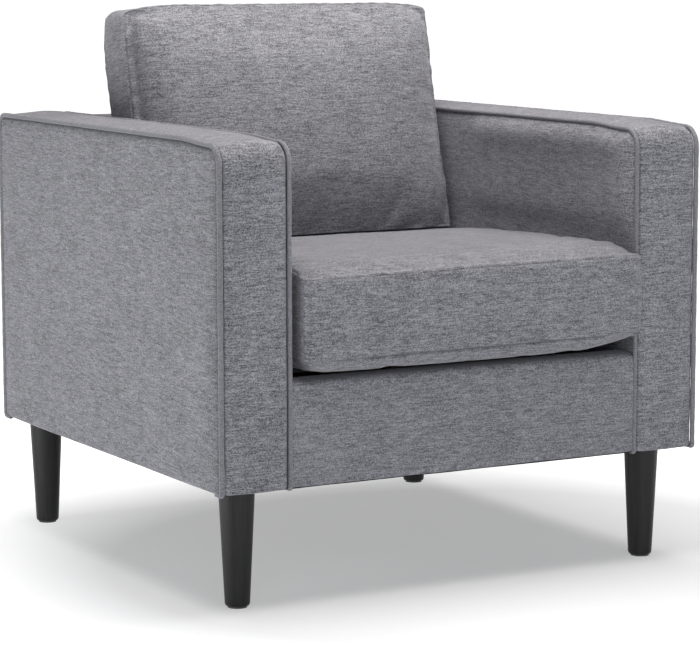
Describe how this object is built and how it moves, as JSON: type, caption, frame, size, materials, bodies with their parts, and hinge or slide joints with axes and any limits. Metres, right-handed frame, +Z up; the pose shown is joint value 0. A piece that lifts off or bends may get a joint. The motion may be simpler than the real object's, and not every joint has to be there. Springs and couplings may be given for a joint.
{
  "type": "upholstered armchair",
  "caption": "Boxy upholstered armchair with flat padded arms, a loose box seat cushion, a loose leaning back cushion and round tapered legs.",
  "frame": {"origin": "on the floor, under the middle of the chair's box", "axes": "+Z up; the sitter faces -Y, so -Y is the front; the sitter's left arm is at +X"},
  "size_m": [0.8, 0.806, 0.8314],
  "materials": {
    "grey_fabric": "heathered chenille weave",
    "black_wood": "black satin lacquer",
    "raw_wood": "planed softwood",
    "hardboard": "smooth hardboard",
    "foam": "open-cell foam",
    "fibre": "polyester fibre in a lining",
    "steel": "zinc plated",
    "glide_plastic": "nylon",
    "zip_plastic": "nylon coil",
    "zip_metal": "grey enamel",
    "dust_cloth": "spunbond cambric",
    "deck_cloth": "plain decking cloth",
    "webbing": "elastic webbing"
  },
  "bodies": {
    "chair": {"arm_left_bottom_rail": "raw_wood", "arm_left_front_board": "raw_wood", "arm_left_rear_board": "raw_wood", "arm_left_top_board": "raw_wood", "arm_left_outer_board": "hardboard", "arm_left_inner_board": "hardboard", "arm_left_padding": "foam", "arm_left_outer_cover": "grey_fabric", "arm_left_inner_cover": "grey_fabric", "arm_left_boxing": "grey_fabric", "arm_left_welts": "grey_fabric", "arm_right_bottom_rail": "raw_wood", "arm_right_front_board": "raw_wood", "arm_right_rear_board": "raw_wood", "arm_right_top_board": "raw_wood", "arm_right_outer_board": "hardboard", "arm_right_inner_board": "hardboard", "arm_right_padding": "foam", "arm_right_outer_cover": "grey_fabric", "arm_right_inner_cover": "grey_fabric", "arm_right_boxing": "grey_fabric", "arm_right_welts": "grey_fabric", "seat_side_rail_left": "raw_wood", "seat_side_rail_right": "raw_wood", "front_rail": "raw_wood", "rear_rail": "raw_wood", "corner_blocks": "raw_wood", "sinuous_springs": "steel", "spring_clips": "steel", "front_rail_padding": "foam", "front_rail_cover": "grey_fabric", "deck_pad": "foam", "deck_cloth": "deck_cloth", "frame_bolts": "steel", "back_side_panel_left": "raw_wood", "back_side_panel_right": "raw_wood", "back_top_rail": "raw_wood", "back_lower_rail": "raw_wood", "back_webbing": "webbing", "back_padding": "foam", "back_inner_cover": "grey_fabric", "back_outer_board": "hardboard", "back_outer_cover": "grey_fabric", "dust_cover": "dust_cloth", "leg_front_left": "black_wood", "leg_front_right": "black_wood", "leg_rear_left": "black_wood", "leg_rear_right": "black_wood", "leg_plates": "steel", "leg_hanger_bolts": "steel", "leg_glides": "glide_plastic", "leg_plate_screws": "steel"},
    "seat_cushion": {"seat_cushion_cover": "grey_fabric", "seat_cushion_foam": "foam", "seat_cushion_zip": "zip_plastic"},
    "back_cushion": {"back_cushion_cover": "grey_fabric", "back_cushion_fill": "fibre", "back_cushion_zip": "zip_plastic"},
    "seat_zip": {"seat_zip_slider": "zip_metal"},
    "back_zip": {"back_zip_slider": "zip_metal"}
  },
  "joints": [
    {"name": "seat_cushion_out", "type": "slide", "parent": "chair", "child": "seat_cushion", "axis": [0, -1, 0], "range_m": [0, 0.7]},
    {"name": "back_cushion_out", "type": "slide", "parent": "chair", "child": "back_cushion", "axis": [0, 0.2079, 0.9781], "range_m": [0, 0.36]},
    {"name": "seat_zip_run", "type": "slide", "parent": "seat_cushion", "child": "seat_zip", "axis": [-1, 0, 0], "range_m": [0, 0.44]},
    {"name": "back_zip_run", "type": "slide", "parent": "back_cushion", "child": "back_zip", "axis": [-1, 0, 0], "range_m": [0, 0.44]}
  ]
}
